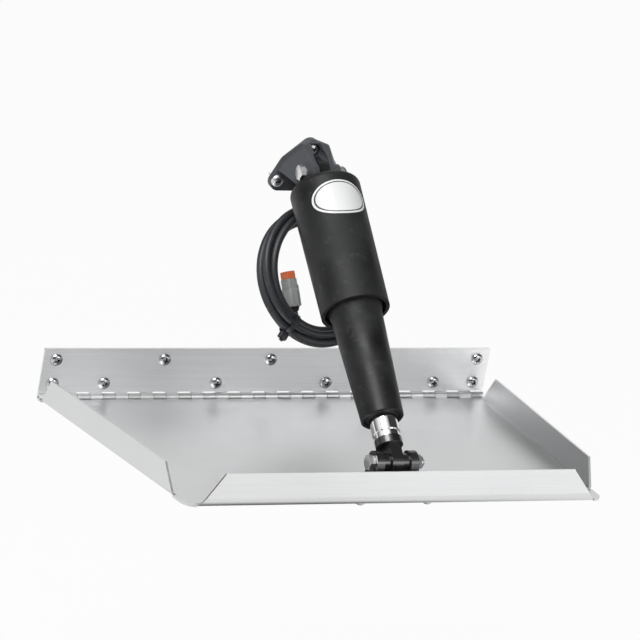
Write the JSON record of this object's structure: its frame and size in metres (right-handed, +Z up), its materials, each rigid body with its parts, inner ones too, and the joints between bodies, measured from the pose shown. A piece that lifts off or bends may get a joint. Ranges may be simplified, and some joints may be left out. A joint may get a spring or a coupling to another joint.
{
  "type": "boat trim tab",
  "caption": "Stainless boat trim tab on a transom hinge plate, lowered by a tilting electric screw actuator with a coiled cable.",
  "frame": {"origin": "middle of the transom plate's back face", "axes": "+X along the hinge to the right seen from behind the boat, +Y into the boat, +Z up"},
  "size_m": [0.4572, 0.3257, 0.2628],
  "materials": {
    "stainless_sheet": "brushed",
    "stainless_fasteners": "bright",
    "black_moulding": "satin",
    "black_housing": "satin",
    "polished_steel": "polished",
    "black_rubber": "matte",
    "cable_jacket": "satin",
    "grey_plug": "satin",
    "orange_wedge": "gloss",
    "drive_steel": "satin",
    "bronze": "satin"
  },
  "bodies": {
    "transom": {"transom_plate": "stainless_sheet", "hinge_pin": "stainless_fasteners", "plate_screws": "stainless_fasteners", "upper_bracket": "black_moulding", "upper_bracket_screws": "stainless_fasteners", "upper_pivot_bolt": "stainless_fasteners", "upper_pivot_nut": "stainless_fasteners"},
    "tab": {"tab_blade": "stainless_sheet", "lower_bracket": "black_moulding", "lower_bracket_bolts": "stainless_fasteners", "lower_bracket_nuts": "stainless_fasteners", "lower_pivot_bolt": "stainless_fasteners", "lower_pivot_nut": "stainless_fasteners", "pivot_spacers": "black_moulding"},
    "actuator": {"motor_housing": "black_housing", "motor": "drive_steel", "gearbox": "drive_steel", "lower_tube": "black_housing", "housing_seal_ring": "black_rubber", "screw_bearing": "drive_steel", "guide_bush": "bronze", "ram_seal": "black_rubber", "scraper_ring": "black_rubber", "cable_gland": "black_moulding", "gland_nut": "black_moulding", "cable_lead": "cable_jacket", "cable_coil": "cable_jacket", "cable_tail": "cable_jacket", "cable_tie": "black_moulding", "plug_body": "grey_plug", "plug_wedge": "orange_wedge", "plug_grommet": "black_rubber"},
    "ram": {"ram": "polished_steel", "drive_nut": "bronze", "ram_ferrule": "polished_steel", "ram_end": "black_moulding"},
    "screw": {"lead_screw": "drive_steel"}
  },
  "joints": [
    {"name": "ram_slide", "type": "slide", "parent": "actuator", "child": "ram", "axis": [0, -0.8094, -0.5873], "range_m": [0, 0.05715]},
    {"name": "tab_hinge", "type": "hinge", "parent": "transom", "child": "tab", "pos_m": [0, -0.0033, -0.024], "axis": [1, 0, 0], "range_deg": [0, 16.5]},
    {"name": "actuator_tilt", "type": "hinge", "parent": "transom", "child": "actuator", "pos_m": [0, -0.033, 0.2135], "axis": [1, 0, 0], "range_deg": [0, 10]},
    {"name": "screw_spin", "type": "hinge", "parent": "actuator", "child": "screw", "pos_m": [0, -0.033, 0.2135], "axis": [0, -0.8094, -0.5873], "range_deg": [0, 5150]}
  ],
  "couplings": [
    {"joint": "tab_hinge", "follows": "ram_slide", "rad_per_m": 4.9821},
    {"joint": "actuator_tilt", "follows": "ram_slide", "rad_per_m": 2.9975},
    {"joint": "screw_spin", "follows": "ram_slide", "rad_per_m": 1570.8}
  ]
}
